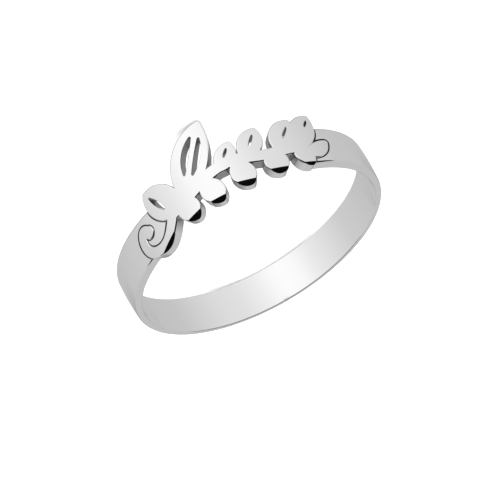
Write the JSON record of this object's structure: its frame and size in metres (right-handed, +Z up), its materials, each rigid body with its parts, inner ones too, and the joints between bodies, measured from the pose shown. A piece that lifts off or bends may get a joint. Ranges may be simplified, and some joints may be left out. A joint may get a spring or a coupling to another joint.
{
  "type": "name ring with a leaf spray in place of the name",
  "caption": "Polished silver finger ring: a plain band that thins to the back, its open front bridged by a pierced spray of leaves.",
  "frame": {"origin": "middle of the ring's foot, on the surface that the ring lies on", "axes": "+Z up from the surface; -Y towards the leaf spray; the finger hole's axis lies in the YZ plane, leaning about 10 degrees from +Z towards +Y"},
  "size_m": [0.0196, 0.0204, 0.0064],
  "materials": {
    "silver": "high polish"
  },
  "bodies": {
    "root": {"ring": "silver"}
  },
  "joints": []
}
